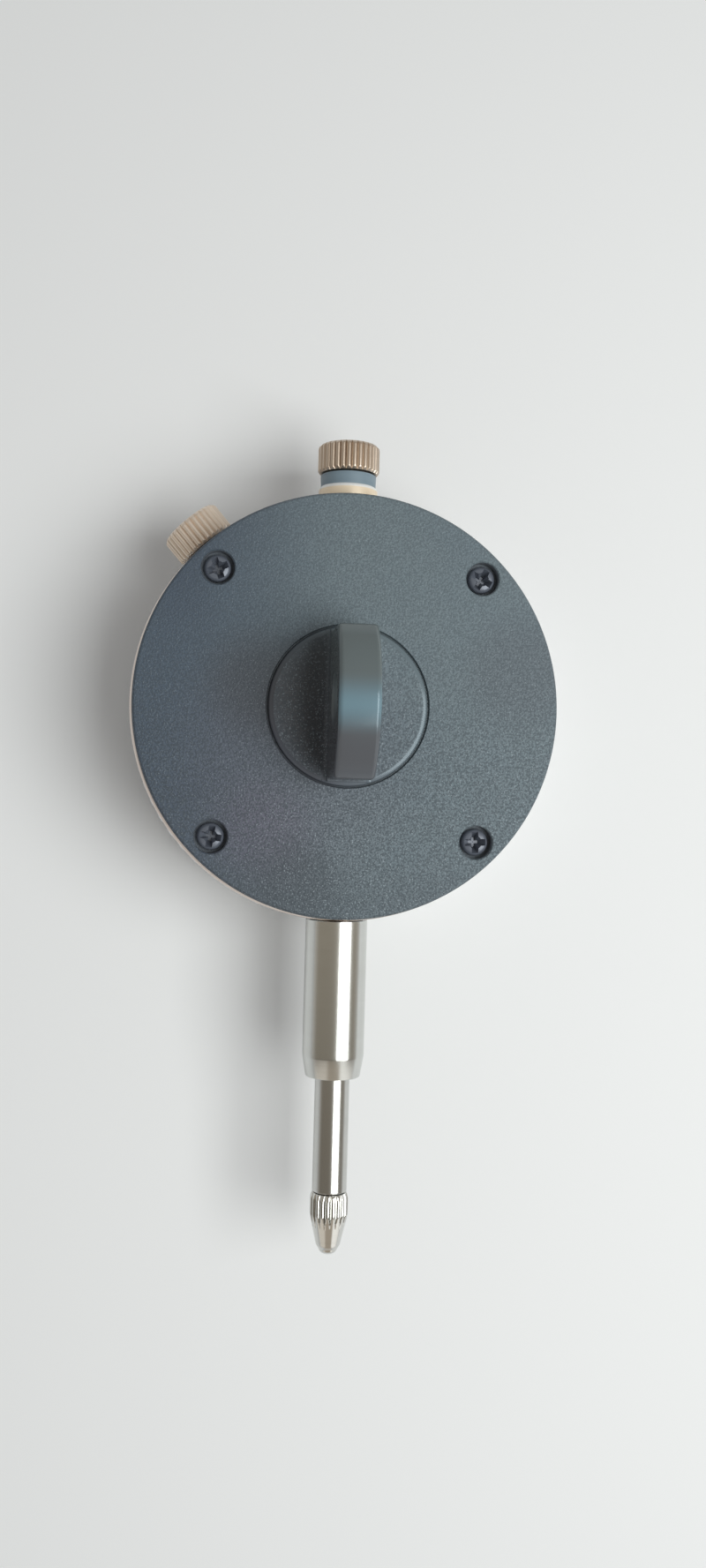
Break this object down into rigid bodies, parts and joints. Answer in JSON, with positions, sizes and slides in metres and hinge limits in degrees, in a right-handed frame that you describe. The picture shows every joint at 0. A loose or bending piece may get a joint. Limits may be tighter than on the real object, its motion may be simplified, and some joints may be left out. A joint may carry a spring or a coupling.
{
  "type": "plunger dial indicator with lug back",
  "caption": "Round plunger dial indicator with a lug back, knurled bezel and clamp screw, cylindrical stem, knurled contact point and a rack-driven gear train behind the dial.",
  "frame": {"origin": "centre of the lug's hole", "axes": "+Z along the plunger towards its cap, +Y out of the back cover, -Y the way the dial faces"},
  "size_m": [0.0556, 0.0344, 0.105],
  "materials": {
    "chrome_case": "bright chrome plate",
    "cover_plastic": "fine moulded grain, the lug smoother",
    "black_steel": "black oxide",
    "polished_steel": "polished steel",
    "ground_steel": "ground steel",
    "brass": "turned brass",
    "champagne": "satin champagne plate",
    "dial_white": "matt white print ground",
    "hand_black": "black paint",
    "spring_steel": "drawn spring wire",
    "crystal": "clear flat crystal"
  },
  "bodies": {
    "case": {"case_body": "chrome_case", "back_cover": "cover_plastic", "cover_screw_1": "black_steel", "cover_screw_2": "black_steel", "cover_screw_3": "black_steel", "cover_screw_4": "black_steel", "stem": "polished_steel", "upper_bush": "polished_steel", "movement_bridge": "brass", "pillar_1": "brass", "pillar_2": "brass", "pillar_3": "brass", "bridge_screw_1": "ground_steel", "bridge_screw_2": "ground_steel", "bridge_screw_3": "ground_steel", "pinion_cock": "brass", "cock_screw": "ground_steel", "guide_rail": "ground_steel", "rail_screw": "ground_steel", "spring_post": "ground_steel", "hairspring_stud": "brass", "inner_dial": "dial_white", "return_spring": "spring_steel", "hairspring": "spring_steel"},
    "plunger_group": {"plunger": "polished_steel", "plunger_cap": "champagne", "contact_point": "polished_steel", "guide_pin": "ground_steel"},
    "rack_arbor": {"rack_pinion": "polished_steel", "first_wheel": "brass", "revolution_hand": "hand_black"},
    "centre_arbor": {"centre_pinion": "polished_steel", "main_hand": "hand_black", "hand_hub": "chrome_case"},
    "take_up_group": {"take_up_arbor": "polished_steel", "take_up_wheel": "brass", "hairspring_collet": "brass"},
    "bezel_group": {"bezel": "chrome_case", "scale_ring": "dial_white", "crystal": "crystal", "wire_ring": "spring_steel"},
    "shoe_group": {"clamp_shoe": "ground_steel"},
    "clamp_group": {"clamp_screw": "champagne"}
  },
  "joints": [
    {"name": "plunger_slide", "type": "slide", "parent": "case", "child": "plunger_group", "axis": [0, 0, 1], "range_m": [0, 0.0105], "stiffness_N_per_m": 30, "springref_m": -0.023, "deforming": ["return_spring"]},
    {"name": "rack_arbor_turn", "type": "hinge", "parent": "case", "child": "rack_arbor", "pos_m": [-0.00339, -0.022, 0.01046], "axis": [0, 1, 0], "continuous": true},
    {"name": "centre_arbor_turn", "type": "hinge", "parent": "case", "child": "centre_arbor", "pos_m": [0, -0.022, 0], "axis": [0, 1, 0], "continuous": true},
    {"name": "take_up_turn", "type": "hinge", "parent": "case", "child": "take_up_group", "pos_m": [-0.00339, -0.022, -0.01046], "axis": [0, 1, 0], "continuous": true},
    {"name": "bezel_turn", "type": "hinge", "parent": "case", "child": "bezel_group", "pos_m": [0, -0.0245, 0], "axis": [0, 1, 0], "continuous": true},
    {"name": "clamp_slide", "type": "slide", "parent": "case", "child": "shoe_group", "axis": [0.6561, 0, 0.7547], "range_m": [-0.00025, 0.0004]},
    {"name": "clamp_turn", "type": "hinge", "parent": "shoe_group", "child": "clamp_group", "pos_m": [0, -0.0166, 0], "axis": [0.6561, 0, 0.7547], "continuous": true}
  ],
  "couplings": [
    {"joint": "rack_arbor_turn", "follows": "plunger_slide", "rad_per_m": -628.32},
    {"joint": "centre_arbor_turn", "follows": "plunger_slide", "rad_per_m": 6283.2},
    {"joint": "take_up_turn", "follows": "plunger_slide", "rad_per_m": -628.32},
    {"joint": "clamp_turn", "follows": "clamp_slide", "rad_per_m": 15708}
  ]
}
